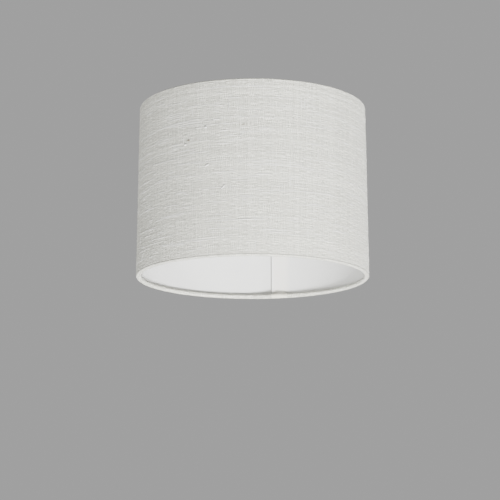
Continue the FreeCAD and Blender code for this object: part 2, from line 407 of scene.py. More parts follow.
middle_of_panel = section_point(cloth_rows[len(cloth_rows) // 2], PANEL_WIDTH / 2, 0, 0)
print("radius and height at the middle of the panel", [round(v, 4) for v in middle_of_panel])

# %% [markdown]
# Then the way round. Most columns only turn with the drum. At an arm the hem parts, widest where the
# wire passes and pinched again at the raw edge. The folded margin goes back under the panel's outer
# end, one cloth and the tape further in.

# %% From the flat cloth to the drum
SLIT_REACH = 0.006
SLIT_CLEAR = 0.00028
# as shares of the way round the roll: where a slit starts and opens, and where it is pinched again
SLIT_FROM, SLIT_OPENING = 0.28, 0.12
PINCH_FROM, PINCH_LENGTH, SLIT_PINCH = 0.55, 0.3, 0.55
FOLD_STEP = GLUE_T * 1.5 + 0.0001 + LINEN_T
FOLD_BULGE = 0.0005


def slit_shift(row, place):
    """How far the cloth moves aside, round the drum, to let a fitter arm through the top hem."""
    if row[0] != "high" or row[1] != "roll":
        return 0.0
    opening = smooth((row[2] - SLIT_FROM) / SLIT_OPENING)
    pinch = 1 - SLIT_PINCH * smooth((row[2] - PINCH_FROM) / PINCH_LENGTH)
    for a in arm_places:
        near = place - a
        if abs(near) < SLIT_REACH:
            side = 1 if near > 0 else -1
            fade = 1 - smooth(abs(near) / SLIT_REACH)
            return side * (ARM_WIRE_R + SLIT_CLEAR) * opening * pinch * fade
    return 0.0


def cloth_point(column, row):
    """Where the cloth's middle surface is, for a column and a row of the flat cloth."""
    kind, value = column
    if kind == "panel":
        r, z = section_point(row, value, *lifted(value))
        azimuth = LAP_END + (value + slit_shift(row, value)) / LOW_R
    else:
        high, z = section_point(row, 0.0, 1, 1)
        low = wall_radius(z) - LINEN_T / 2 + FOLD_STEP if row[1] == "wall" else high - HEM_LIFT
        if kind == "turn":
            swing = math.pi * (1 - value)
            r = (high + low) / 2 + (high - low) / 2 * math.cos(swing)
            azimuth = LAP_END - FOLD_BULGE * math.sin(swing) / LOW_R
        else:
            r = low
            azimuth = LAP_END - value / LOW_R
    return Vector((r * math.cos(azimuth), r * math.sin(azimuth), z))


print("step down to the folded margin", round(LAP_LIFT - FOLD_STEP, 5))

# %% [markdown]
# A shallow cone is cut from flat cloth as a curved band, so the threads follow the rim only in the
# middle of the panel and run off it a little towards the seam. Each vertex keeps its place on the
# flat cloth, in metres, as its UV, and the weave is drawn from that.

# %% Where each vertex lies on the flat cloth
CONE_SLOPE = (LOW_R - HIGH_R) / WALL_LENGTH
APEX = LOW_R / CONE_SLOPE


TURN_LENGTH = 0.0008


def flat_place(column, row):
    """The place on the flat cloth, in metres, of a column and a row."""
    kind, value = column
    if kind == "panel":
        place = value
    elif kind == "turn":
        place = -TURN_LENGTH * (1 - value)
    else:
        place = value - TURN_LENGTH
    reach = APEX - row[3]
    swing = (place - PANEL_WIDTH / 2) / LOW_R * CONE_SLOPE
    return reach * math.sin(swing), APEX - reach * math.cos(swing)


print("the band's radius when it is cut flat", round(APEX, 3))

# %% [markdown]
# The linen starts as a flat grid with the right number of rows and columns. Each vertex gets its
# place on the flat cloth as its UV, and is then moved onto the drum.

# %% The linen laid on the drum
n_columns, n_rows = len(cloth_columns), len(cloth_rows)
bpy.ops.mesh.primitive_grid_add(x_subdivisions=n_columns - 1, y_subdivisions=n_rows - 1, size=2)
linen = bpy.context.object
linen.name = "linen_cloth"
mesh = linen.data
assert len(mesh.vertices) == n_columns * n_rows, (len(mesh.vertices), n_columns, n_rows)

cells = [
    (round((v.co.x + 1) / 2 * (n_columns - 1)), round((v.co.y + 1) / 2 * (n_rows - 1)))
    for v in mesh.vertices
]
flat_uv = [flat_place(cloth_columns[i], cloth_rows[j]) for i, j in cells]
for loop in mesh.loops:
    mesh.uv_layers.active.data[loop.index].uv = flat_uv[loop.vertex_index]
slit_columns = [
    i
    for i, (kind, value) in enumerate(cloth_columns)
    if kind == "panel" and any(abs(value + SLIT_HALF - a) < 1e-9 for a in arm_places)
]
for v, (i, j) in zip(mesh.vertices, cells):
    v.co = cloth_point(cloth_columns[i], cloth_rows[j])
print("linen vertices", len(mesh.vertices), "slits", len(slit_columns))

# %% [markdown]
# The maker slits the cloth at each arm, so faces are taken out of the grid there. In the hems the
# folded margin is buried in the roll, where only its hump shows, so its faces there are taken out
# as well.

# %% Cutting the cloth
def is_cut_away(face):
    """True for the folded margin's faces in the hems, and for the slits at the arms."""
    corners = [cells[k] for k in face.vertices]
    first = min(i for i, j in corners)
    rows = [cloth_rows[j] for i, j in corners]
    in_margin = cloth_columns[first][0] != "panel"
    if in_margin:
        return any(row[1] != "wall" for row in rows)
    in_roll = all(row[0] == "high" and row[1] == "roll" and row[2] > SLIT_FROM - 0.01 for row in rows)
    return first in slit_columns and in_roll


cut = [f.index for f in mesh.polygons if is_cut_away(f)]
work = bmesh.new()
work.from_mesh(mesh)
work.faces.ensure_lookup_table()
bmesh.ops.delete(work, geom=[work.faces[k] for k in cut], context="FACES")
bmesh.ops.recalc_face_normals(work, faces=work.faces)
work.to_mesh(mesh)
work.free()
print("linen faces", len(mesh.polygons), "cut away", len(cut))

# %% [markdown]
# So far the cloth is a surface with no thickness. Solidify gives it one, half to each side of the
# middle surface, and closes all its raw edges.

# %% The cloth's thickness
thickness = linen.modifiers.new("cloth_thickness", "SOLIDIFY")
thickness.thickness = LINEN_T
thickness.offset = 0
thickness.use_even_offset = False
bpy.ops.object.modifier_apply(modifier=thickness.name)
bpy.ops.object.shade_smooth()
print("linen triangles", sum(len(f.vertices) - 2 for f in linen.data.polygons))

# %% [markdown]
# Slubs: the thick, soft lengths of yarn that make linen look like linen. They stand a little proud
# of the cloth, so they are real geometry: one spindle is modelled from a sphere, and copies of it
# are stretched, laid along a thread and wrapped onto the wall. It has only a few dozen faces,
# because the cloth carries hundreds. Laying it on the wall turns it inside out, as a glove is when it
# changes hands, so its faces are listed the other way round here and point outwards in the end.

# %% One spindle of yarn
bpy.ops.mesh.primitive_uv_sphere_add(segments=4, ring_count=12, radius=0.5)
spindle = bpy.context.object
bpy.ops.object.mode_set(mode="EDIT")
bpy.ops.mesh.select_all(action="SELECT")
bpy.ops.transform.rotate(value=math.radians(90), orient_axis="Y", center_override=(0, 0, 0))
bpy.ops.transform.rotate(value=math.radians(45), orient_axis="X", center_override=(0, 0, 0))
bpy.ops.object.mode_set(mode="OBJECT")
spindle_points = [v.co.copy() for v in spindle.data.vertices]
spindle_faces = [tuple(reversed(f.vertices)) for f in spindle.data.polygons]
bpy.data.objects.remove(spindle)
print("spindle faces", len(spindle_faces))

# %% [markdown]
# A straight, even spindle would look like a grain of rice. So each one drifts from side to side and
# swells and thins along its length, by noise that its own place sets. Then it is tilted and wrapped
# round the drum, with its middle sunk in the cloth, so that only its back shows.

# %% One yarn laid on the wall
YARN_DRIFT, YARN_SWELL = 0.55, 0.5


def laid_yarn(azimuth, z, length, width, proud, tilt):
    """The points of one spindle on the wall."""
    points = []
    wander = azimuth * 40 + z * 900
    for p in spindle_points:
        x = p.x * length
        fine_drift = noise.noise(Vector((x * 260, wander, 7)))
        drift = noise.noise(Vector((x * 60, wander, 0))) + 0.4 * fine_drift
        swell = 1 + YARN_SWELL * noise.noise(Vector((x * 180, wander, 4)))
        y = p.z * width * swell + width * YARN_DRIFT * drift
        along = x * math.cos(tilt) - y * math.sin(tilt)
        up = z + x * math.sin(tilt) + y * math.cos(tilt)
        r = wall_radius(up) + p.y * 2 * proud * swell
        a = azimuth + along / LOW_R
        points.append((r * math.cos(a), r * math.sin(a), up))
    return points


print("points of a yarn", len(laid_yarn(0, HEIGHT / 2, 0.01, 0.001, 0.0002, 0)))

# %% [markdown]
# Most slubs lie along the weft, a few along the warp, and there are small round nubs where fibre has
# balled up. Each kind has its own range of length, width and height. They keep off the back seam,
# where the cloth stands away from the drum's own radius. A few large ones in front are listed one by
# one, because a piece of linen usually has a few that catch the eye.

# %% Slubs over the whole cloth
SEAM_CLEAR = 0.004
HEM_CLEAR = 0.006
SLUB_KINDS = [
    # count, lengths, widths, how far proud, along the weft
    (300, (0.018, 0.050), (0.00045, 0.00080), (0.00010, 0.00022), True),
    (260, (0.005, 0.018), (0.00050, 0.00100), (0.00014, 0.00030), True),
    (90, (0.004, 0.014), (0.00045, 0.00075), (0.00012, 0.00024), False),
    (130, (0.0012, 0.0026), (0.0007, 0.0012), (0.00022, 0.00042), True),
]


def random_slubs(seed):
    draw = random.Random(seed)
    slubs = []
    for count, lengths, widths, prouds, across in SLUB_KINDS:
        for _ in range(count):
            length = draw.uniform(*lengths)
            clear = length / 2 + SEAM_CLEAR
            past_lap = draw.uniform(LAP_WIDTH + RAMP_WIDTH + clear, PANEL_WIDTH - LAP_WIDTH - clear)
            reach = HEM_CLEAR if across else clear
            z = draw.uniform(reach, HEIGHT - reach)
            tilt = draw.gauss(0, 0.012) + (0 if across else math.pi / 2)
            size = draw.uniform(*widths), draw.uniform(*prouds)
            slubs.append((LAP_END + past_lap / LOW_R, z, length, *size, tilt))
    return slubs


front_slubs = [
    # azimuth, height, length, width, how far proud, tilt
    (math.radians(247.0), 0.1096, 0.0026, 0.0017, 0.0010, 0.3),
    (math.radians(235.9), 0.0964, 0.0024, 0.0015, 0.0009, 0.3),
    (math.radians(247.7), 0.0774, 0.0044, 0.0016, 0.0010, 0.35),
    (math.radians(256.0), 0.058, 0.0060, 0.0011, 0.0007, 0.75),
    (math.radians(275.2), 0.068, 0.0130, 0.0011, 0.0005, 0.02),
    (math.radians(266.8), 0.030, 0.0340, 0.0010, 0.0005, 0.0),
]


print("front slubs", len(front_slubs), "kinds", len(SLUB_KINDS))

# %% [markdown]
# Hundreds of separate objects would be slow, and on the real cloth the slubs are one with it. So the
# yarns' points and faces are gathered into one mesh, and the straw will be made the same way.

# %% The slubs as one piece
def yarn_piece(name, yarns):
    """All these yarns as one piece."""
    points, faces = [], []
    for yarn in yarns:
        base = len(points)
        points += laid_yarn(*yarn)
        faces += [tuple(base + k for k in f) for f in spindle_faces]
    made = bpy.data.meshes.new(name)
    made.from_pydata(points, [], faces)
    made.shade_smooth()
    piece = bpy.data.objects.new(name, made)
    bpy.context.collection.objects.link(piece)
    print(name, "yarns", len(yarns), "faces", len(faces))
    return piece


slubs = yarn_piece("linen_slubs", front_slubs + random_slubs(seed=11))

# %% [markdown]
# Straw: short dark bits of flax stem that stay in the yarn. There are only a few, so each is laid as
# a small stubby yarn of its own, and gets its own finish.

# %% Bits of straw
STRAW_COUNT = 26
STRAW_LENGTHS, STRAW_WIDTHS, STRAW_PROUD = (0.0009, 0.0026), (0.00035, 0.0006), 0.00022

draw = random.Random(5)
straws = [
    # azimuth, height, length, width, how far proud, tilt
    (math.radians(237.6), 0.1004, 0.0024, 0.0016, 0.0004, 0.2),
    (math.radians(265.7), 0.110, 0.0026, 0.0009, 0.0003, 0.0),
]
for _ in range(STRAW_COUNT):
    past_lap = draw.uniform(LAP_WIDTH + RAMP_WIDTH + SEAM_CLEAR, PANEL_WIDTH - LAP_WIDTH - SEAM_CLEAR)
    straw_size = draw.uniform(*STRAW_LENGTHS), draw.uniform(*STRAW_WIDTHS), STRAW_PROUD
    z = draw.uniform(HEM_CLEAR, HEIGHT - HEM_CLEAR)
    straws.append((LAP_END + past_lap / LOW_R, z, *straw_size, draw.gauss(0, 0.5)))
straw = yarn_piece("straw_bits", straws)
print("straw bits", len(straws))

# %% [markdown]
# The hem's raw edge sheds a few fibres. They are short, thin and curled, and lie against the liner
# just inside each ring. Each is drawn as a curve with a little thickness and closed ends.

# %% Loose fibres at the hems
FIBRE_COUNT, FIBRE_R = 70, 0.00005
FIBRE_LENGTHS = (0.0015, 0.0045)
FIBRES_AT_TOP = 0.4
FIBRE_INSET, FIBRE_BOW = 0.0003, 0.0004

draw = random.Random(23)
fibre_curve = bpy.data.curves.new("hem_fibres", "CURVE")
fibre_curve.dimensions = "3D"
fibre_curve.bevel_depth = FIBRE_R
fibre_curve.bevel_resolution = 0
fibre_curve.use_fill_caps = True
fibre_curve.resolution_u = 2
for _ in range(FIBRE_COUNT):
    azimuth = draw.uniform(0, TURN)
    top = draw.random() < FIBRES_AT_TOP
    ring_r = HIGH_RING_R if top else LOW_RING_R
    length = draw.uniform(*FIBRE_LENGTHS)
    lean = draw.gauss(0, 0.8)
    spline = fibre_curve.splines.new("NURBS")
    spline.points.add(3)
    for k, point in enumerate(spline.points):
        t = k / 3
        a = azimuth + lean * length * t / ring_r + draw.gauss(0, 0.0012) * t
        r = ring_r + ROLL_IN_R - FIBRE_INSET - FIBRE_BOW * t * (1 - t)
        z = RING_LEVEL + ROLL_R * 0.72 + length * t
        z = HEIGHT - z if top else z
        point.co = (r * math.cos(a), r * math.sin(a), z, 1)
    spline.use_endpoint_u = True
print("fibre curves", len(fibre_curve.splines))

# %% [markdown]
# A curve has thickness only while it is drawn, so it is turned into a mesh. The points that the tubes
# and their end caps share are merged, and the faces are then turned outwards.

# %% The fibres as a mesh
fibre_object = bpy.data.objects.new("fibre_lines", fibre_curve)
bpy.context.collection.objects.link(fibre_object)
bpy.context.view_layer.update()
thick_lines = fibre_object.evaluated_get(bpy.context.evaluated_depsgraph_get())
fibre_mesh = bpy.data.meshes.new_from_object(thick_lines)
fibre_mesh.name = "hem_fibres"
bpy.data.objects.remove(fibre_object)
work = bmesh.new()
work.from_mesh(fibre_mesh)
bmesh.ops.remove_doubles(work, verts=work.verts, dist=1e-7)
bmesh.ops.recalc_face_normals(work, faces=work.faces)
work.to_mesh(fibre_mesh)
work.free()
fibres = bpy.data.objects.new("hem_fibres", fibre_mesh)
bpy.context.collection.objects.link(fibres)
print("fibre faces", len(fibre_mesh.polygons))

# %% [markdown]
# Each fitter arm is welded to the washer and to the ring. The weld at the washer shows: a small
# puddle of metal either side of the flattened wire end. It is a sphere, flattened and stretched in
# edit mode, placed once and copied round for the other arms.

# %% Weld puddles at the washer
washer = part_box("fitter_ring")
WASHER_R, WASHER_TOP = washer[1][0], washer[1][2]
SPADE_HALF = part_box("fitter_arm_3")[1][0]
WELD_R = 0.001
WELD_STRETCH = (1.9, 0.9, 0.55)
WELD_INSET = 0.0016

bpy.ops.mesh.primitive_uv_sphere_add(segments=20, ring_count=12, radius=WELD_R, location=(0, 0, 0))
puddle = bpy.context.object
bpy.ops.object.mode_set(mode="EDIT")
bpy.ops.mesh.select_all(action="SELECT")
bpy.ops.transform.resize(value=WELD_STRETCH, center_override=(0, 0, 0))
bpy.ops.transform.translate(value=(WASHER_R - WELD_INSET, 0, WASHER_TOP))
bpy.ops.object.mode_set(mode="OBJECT")

weld_parts = []
for azimuth in ARM_AZIMUTHS:
    for side in (-1, 1):
        copy = puddle.copy()
        copy.data = puddle.data.copy()
        copy.rotation_euler.z = azimuth + side * SPADE_HALF / WASHER_R
        bpy.context.collection.objects.link(copy)
        weld_parts.append(copy)
bpy.data.objects.remove(puddle)
bpy.ops.object.select_all(action="DESELECT")
for weld in weld_parts:
    weld.select_set(True)
bpy.context.view_layer.objects.active = weld_parts[0]
bpy.ops.object.join()
welds = bpy.context.object
welds.name = "washer_welds"
bpy.ops.object.transform_apply(location=True, rotation=True, scale=True)
bpy.ops.object.shade_smooth()
bpy.ops.object.select_all(action="DESELECT")
print("weld faces", len(welds.data.polygons))


# %% [markdown]
# A finish is built up as a painter does it: a ground colour, then one thin layer of another colour
# after another, each let through by a mask. These helpers say that in one line each: a sum, a noise,
# a change of range, and one colour laid over another.

# %% Helpers for recipes
def maths(tree, operation, a, b=0.0, clamp=False):
    wires = {0: a} if b is None else {0: a, 1: b}
    return add_node(tree, "ShaderNodeMath", wires, operation=operation, use_clamp=clamp).outputs[0]


def vector_of(tree, x, y, z=0.0):
    return add_node(tree, "ShaderNodeCombineXYZ", {0: x, 1: y, 2: z}).outputs[0]


def noise_of(tree, vector, scale, detail=2.0):
    wires = {"Vector": vector, "Scale": scale, "Detail": detail}
    return add_node(tree, "ShaderNodeTexNoise", wires).outputs["Fac"]


def remap(tree, value, low, high, to_low=0.0, to_high=1.0):
    wires = {0: value, 1: low, 2: high, 3: to_low, 4: to_high}
    return add_node(tree, "ShaderNodeMapRange", wires).outputs[0]


def mix_colour(tree, factor, a, b):
    wires = {0: factor, 6: a, 7: b}
    return add_node(tree, "ShaderNodeMix", wires, data_type="RGBA", blend_type="MIX").outputs[2]


def stretched(tree, vector, by):
    """A place, stretched along each axis, so that a noise on it gets long one way."""
    wires = {0: vector, 1: by}
    return add_node(tree, "ShaderNodeVectorMath", wires, operation="MULTIPLY").outputs[0]


def tinted(tree, mask, share, below, colour):
    """A colour laid over the one below it where the mask is, and by no more than that share."""
    return mix_colour(tree, maths(tree, "MULTIPLY", mask, share), below, (*colour, 1))


print("helpers for recipes:", [f.__name__ for f in (maths, vector_of, noise_of, remap, tinted)])

# %% [markdown]
# An effect that several finishes share is a node group: it is made once, with named inputs and
# outputs, and each finish puts it in and wires it up. A finish itself starts from the standard
# shader with a colour and a roughness, and ends with a bump.

# %% Helpers for groups and finishes
def new_group(name, inputs, outputs):
    tree = bpy.data.node_groups.new(name, "ShaderNodeTree")
    for socket, kind, value in inputs:
        made = tree.interface.new_socket(socket, in_out="INPUT", socket_type=kind)
        if value is not None:
            made.default_value = value
    for socket in outputs:
        tree.interface.new_socket(socket, in_out="OUTPUT", socket_type="NodeSocketFloat")
    return tree, tree.nodes.new("NodeGroupInput").outputs, tree.nodes.new("NodeGroupOutput").inputs


def add_group(tree, group, wires):
    """A shared group put into a finish. What comes back is the group's outputs."""
    return add_node(tree, "ShaderNodeGroup", wires, node_tree=group).outputs


def new_material(name, colour, roughness):
    material = bpy.data.materials.new(name)
    material.use_nodes = True
    tree = material.node_tree
    shader = tree.nodes["Principled BSDF"]
    shader.inputs["Base Color"].default_value = (*colour, 1)
    shader.inputs["Roughness"].default_value = roughness
    return material, tree, shader


def bump_into(tree, shader, height, distance):
    bump = add_node(tree, "ShaderNodeBump", {"Height": height, "Distance": distance, "Strength": 1.0})
    tree.links.new(bump.outputs[0], shader.inputs["Normal"])


print("helpers for finishes:", [f.__name__ for f in (new_group, add_group, new_material, bump_into)])

# %% [markdown]
# The weave. Linen yarns are uneven: each thread has its own thickness and tone, swells along its
# length, and wanders a little. Where one thread swells, the one beside it is squeezed thin, so the
# noise is drawn once for each pair of threads and turned over for the second: that gives short, crisp
# dashes and no clouds. The group takes a place on the flat cloth, finds which weft and warp thread
# crosses there, and puts out how high the cloth stands, the tone of the thread on top, and where the
# small holes between threads are.

# %% What the weave starts from
WEFT_PITCH, WARP_PITCH = 0.00092, 0.00082
WANDER = 0.0020
SWELLS_PER_METRE = 170.0
PAIR_SPREAD = 7.31
weave, given, result = new_group(
    "linen_weave",
    [
        ("Cloth Place", "NodeSocketVector", None),
        ("Weft Pitch", "NodeSocketFloat", 0.001),
        ("Warp Pitch", "NodeSocketFloat", 0.0009),
    ],
    ["Height", "Tone", "Holes"],
)
place = given["Cloth Place"]
wander = add_node(
    weave, "ShaderNodeTexNoise", {"Vector": place, "Scale": 70.0, "Detail": 2.0}
).outputs["Color"]
wander_parts = add_node(weave, "ShaderNodeSeparateXYZ", {0: wander}).outputs
place_parts = add_node(weave, "ShaderNodeSeparateXYZ", {0: place}).outputs
print("weft and warp pitch in mm", WEFT_PITCH * 1000, WARP_PITCH * 1000)

# %% [markdown]
# Weft and warp are the same sum with the axes changed over, so one function makes both. It counts
# threads across the cloth, and gives each a tone, a width and a round top.

# %% One set of threads
THIN_HALF, EXTRA_HALF = 0.24, 0.42


def thread_set(across, along, pitch, shift, seed, own_share, swell_share):
    """Count, number, tone and round top of one set of parallel threads."""
    moved = maths(weave, "ADD", across, maths(weave, "MULTIPLY", shift, WANDER))
    count = maths(weave, "DIVIDE", moved, pitch)
    number = maths(weave, "FLOOR", count, None)
    inside = maths(weave, "FRACT", count, None)
    own = add_node(
        weave,
        "ShaderNodeTexWhiteNoise",
        {"W": maths(weave, "ADD", number, seed)},
        noise_dimensions="1D",
    ).outputs["Value"]
    half_number = maths(weave, "MULTIPLY", number, 0.5)
    pair = maths(weave, "FLOOR", half_number, None)
    turned = maths(weave, "MULTIPLY", maths(weave, "FRACT", half_number, None), 4.0)
    along_yarn = maths(weave, "MULTIPLY", along, SWELLS_PER_METRE)
    stretch = vector_of(weave, along_yarn, maths(weave, "MULTIPLY", pair, PAIR_SPREAD), seed)
    swell = maths(weave, "SUBTRACT", noise_of(weave, stretch, 1.0, 4.0), 0.5)
    paired = maths(weave, "MULTIPLY", swell, maths(weave, "SUBTRACT", 1.0, turned))
    own_tone = maths(weave, "MULTIPLY", maths(weave, "SUBTRACT", own, 0.5), own_share)
    own_and_swell = maths(weave, "ADD", own_tone, maths(weave, "MULTIPLY", paired, swell_share))
    tone = maths(weave, "ADD", own_and_swell, 0.5, clamp=True)
    half = maths(weave, "ADD", maths(weave, "MULTIPLY", tone, EXTRA_HALF), THIN_HALF)
    off = maths(weave, "ABSOLUTE", maths(weave, "SUBTRACT", inside, 0.5), None)
    ratio = maths(weave, "DIVIDE", off, half)
    round_top = maths(weave, "SUBTRACT", 1.0, maths(weave, "MULTIPLY", ratio, ratio), clamp=True)
    return count, number, tone, round_top


weft = thread_set(place_parts[1], place_parts[0], given["Weft Pitch"], wander_parts[0], 3.0, 0.45, 3.4)
warp = thread_set(place_parts[0], place_parts[1], given["Warp Pitch"], wander_parts[1], 817.0, 0.3, 1.5)
print("thread nodes", len(weave.nodes))

# %% [markdown]
# In a plain weave a thread goes over one thread of the other set and under the next, so its height
# is a wave along it, and its neighbour's wave is the other way up. The higher of the two is the one
# that is seen. The weft stands a little above the warp, because this cloth shows its weft most.

# %% Over and under
CRIMP = 0.34
WEFT_LEVEL, WARP_LEVEL = 0.64, 0.5


def crossing(own, other, sign, level):
    """A thread's height where it goes over and under the other set, about its own level."""
    phase = maths(weave, "MULTIPLY", maths(weave, "ADD", other[0], own[1]), math.pi)
    wave = maths(weave, "MULTIPLY", maths(weave, "SINE", phase, None), CRIMP * sign)
    return maths(weave, "MULTIPLY", own[3], maths(weave, "ADD", wave, level))


weft_height = crossing(weft, warp, 1, WEFT_LEVEL)
warp_height = crossing(warp, weft, -1, WARP_LEVEL)
height = maths(weave, "MAXIMUM", weft_height, warp_height)
weft_on_top = maths(weave, "GREATER_THAN", weft_height, warp_height)
warp_tone = maths(weave, "MULTIPLY", warp[2], maths(weave, "SUBTRACT", 1.0, weft_on_top))
tone = maths(weave, "ADD", maths(weave, "MULTIPLY", weft[2], weft_on_top), warp_tone)
weave.links.new(height, result["Height"])
weave.links.new(tone, result["Tone"])
weave.links.new(remap(weave, height, 0.05, 0.45, 1.0, 0.0), result["Holes"])
print("weave nodes", len(weave.nodes))

# %% [markdown]
# Flecks: darker and paler fibre spun into the yarn. Noise stretched along the threads is cut
# off high, so that only its rare peaks are left, long and thin one way and short the other.

# %% Flecks as a node group
flecks, given, result = new_group(
    "yarn_flecks", [("Cloth Place", "NodeSocketVector", None)], ["Dark", "Pale"]
)
for name, stretch, low, high in (
    ("Dark", (160.0, 900.0, 1.0), 0.735, 0.79),
    ("Pale", (90.0, 620.0, 1.0), 0.66, 0.76),
):
    peaks = noise_of(flecks, stretched(flecks, given["Cloth Place"], stretch), 1.0, 1.0)
    flecks.links.new(remap(flecks, peaks, low, high), result[name])
print("fleck nodes", len(flecks.nodes))

# %% [markdown]
# The lap shows as a slightly warmer strip, where a second layer and the tape lie behind the sheet.
# The step at its edge is dark, for dust and glue in it and as a painted shadow of the step, and the
# sheet's cut lip beside that gets a painted highlight. Both the liner and the hem need to know where
# these are, so this group works it out from the place round the drum.

# %% The lap strip as a node group
STEP_EDGE = 0.004
SOFT_END = 0.03
BESIDE = 0.009

strip, given, result = new_group(
    "lap_strip", [("Place", "NodeSocketVector", None)], ["Inside", "Joint Dust And Shade", "Lip Highlight"]
)
strip_parts = add_node(strip, "ShaderNodeSeparateXYZ", {0: given["Place"]}).outputs
azimuth = maths(strip, "ARCTAN2", strip_parts[1], strip_parts[0])
before_start = remap(strip, azimuth, LAP_START, LAP_START - STEP_EDGE)
after_end = remap(strip, azimuth, LAP_END - SOFT_END, LAP_END + SOFT_END)
strip.links.new(maths(strip, "MULTIPLY", before_start, after_end), result["Inside"])
# Joint darkens for dust and glue and as a painted shadow of the step; Lip is a painted highlight
for name, centre, edge, core in (
    ("Joint Dust And Shade", LAP_START + BESIDE, 0.007, 0.003),
    ("Lip Highlight", LAP_START - BESIDE, 0.009, 0.003),
):
    off = maths(strip, "ABSOLUTE", maths(strip, "SUBTRACT", azimuth, centre), None)
    strip.links.new(remap(strip, off, edge, core), result[name])
print("strip nodes", len(strip.nodes))

# %% [markdown]
# Off-white linen: two near-white yarn tones with a trace of olive, a painted shade in the holes
# between threads, and flecks and a slow mottle over the whole cloth. The weave and the flecks are
# drawn on the cloth's own UV map, which is the flat cloth, so that they turn with it round the hems.

# %% The cloth's own colour
linen_finish, tree, shader = new_material("slubbed_linen", (0.7, 0.7, 0.66), 0.92)
cloth_place = add_node(tree, "ShaderNodeUVMap").outputs[0]
pitches = {"Cloth Place": cloth_place, "Weft Pitch": WEFT_PITCH, "Warp Pitch": WARP_PITCH}
woven = add_group(tree, weave, pitches)
fleck_node = add_group(tree, flecks, {"Cloth Place": cloth_place})
yarn = mix_colour(tree, woven["Tone"], (0.34, 0.339, 0.282, 1), (0.93, 0.928, 0.825, 1))
# painted shade: the holes between threads are darkened
with_hole_shade = tinted(tree, woven["Holes"], 0.55, yarn, (0.40, 0.39, 0.34))
with_dark = tinted(tree, fleck_node["Dark"], 0.6, with_hole_shade, (0.33, 0.29, 0.22))
with_pale = tinted(tree, fleck_node["Pale"], 0.5, with_dark, (0.88, 0.88, 0.85))
mottle = remap(tree, noise_of(tree, cloth_place, 30.0, 4.0), 0.3, 0.7, 0.975, 1.025)
mottled = add_node(
    tree, "ShaderNodeVectorMath", {0: with_pale, "Scale": mottle}, operation="SCALE"
).outputs[0]
print("cloth colour nodes", len(tree.nodes))

# %% [markdown]
# Then what making leaves on it, and painted shade. The adhesive shows warm through the hem at the lap.
# The crease above the ring, the tuck behind the ring and the lowest outer edge are darkened, a painted
# shade, and the joint is darker for dust and glue in it and as a painted shadow of its step. Each is a
# mask from the height and from the distance to the axis, with one colour laid over by that mask.

# %% Masks for the hems
CREASE_LEVEL = RING_LEVEL - 0.0001
where = add_node(tree, "ShaderNodeTexCoord").outputs["Object"]
where_parts = add_node(tree, "ShaderNodeSeparateXYZ", {0: where}).outputs
level = where_parts[2]
flat_where = vector_of(tree, where_parts[0], where_parts[1])
from_axis = add_node(tree, "ShaderNodeVectorMath", {0: flat_where}, operation="LENGTH").outputs["Value"]
off_crease = maths(tree, "ABSOLUTE", maths(tree, "SUBTRACT", level, CREASE_LEVEL), None)
from_end = maths(tree, "MINIMUM", level, maths(tree, "SUBTRACT", HEIGHT, level))


def hem_mask(height, height_out, height_in, inset_out, inset_in):
    """A mask that is full past one height and one inset from the drum's radius, and fades outside."""
    near_height = remap(tree, height, height_out, height_in)
    near_radius = remap(tree, from_axis, LOW_R - inset_out, LOW_R - inset_in)
    return maths(tree, "MULTIPLY", near_height, near_radius)


in_hem = hem_mask(level, 0.0065, 0.0050, 0.0025, 0.0035)
# painted shade: the crease, the lowest outer edge and the tuck behind the ring are darkened by these
# masks
crease_shade_mask = hem_mask(off_crease, 0.0006, 0.0002, 0.0018, 0.0012)
low_edge_shade_mask = hem_mask(level, 0.0060, 0.0015, 0.0027, 0.0019)
tucked = hem_mask(from_end, 0.0025, 0.0033, 0.0020, 0.0025)
print("crease level in mm", round(CREASE_LEVEL * 1000, 2))

# %% [markdown]
# The cloth is matt with a little sheen, as loose fibre ends catch light that comes in flat, and the
# weave's height gives it its relief.

# %% Painted shade, stain, dust, sheen and relief
RELIEF = 0.00018
lap_node = add_group(tree, strip, {"Place": where})
lap_in_hem = maths(tree, "MULTIPLY", lap_node["Inside"], in_hem)
joint_dust_and_shade_in_hem = maths(tree, "MULTIPLY", lap_node["Joint Dust And Shade"], in_hem)
# painted shade in the crease, at the lowest edge and in the tuck; dust, glue and painted shadow at the
# joint
crease_shaded = tinted(tree, crease_shade_mask, 0.35, mottled, (0.30, 0.29, 0.26))
stained = tinted(tree, lap_in_hem, 0.7, crease_shaded, (0.90, 0.87, 0.71))
joint_dust_and_shaded = tinted(tree, joint_dust_and_shade_in_hem, 0.35, stained, (0.42, 0.41, 0.36))
low_edge_shaded = tinted(tree, low_edge_shade_mask, 0.28, joint_dust_and_shaded, (0.30, 0.295, 0.27))
tuck_shaded = tinted(tree, tucked, 0.5, low_edge_shaded, (0.33, 0.32, 0.29))
tree.links.new(tuck_shaded, shader.inputs["Base Color"])
tree.links.new(remap(tree, woven["Height"], 0.0, 1.0, 0.98, 0.84), shader.inputs["Roughness"])
shader.inputs["Sheen Weight"].default_value = 0.18
shader.inputs["Sheen Roughness"].default_value = 0.5
shader.inputs["Specular IOR Level"].default_value = 0.25
bump_into(tree, shader, woven["Height"], RELIEF)
print("linen nodes", len(tree.nodes))

# %% [markdown]
# Yarn for the slubs and the loose fibres: the same linen, seen as single fibres. Thin streaks along
# the yarn stand for the fibres.

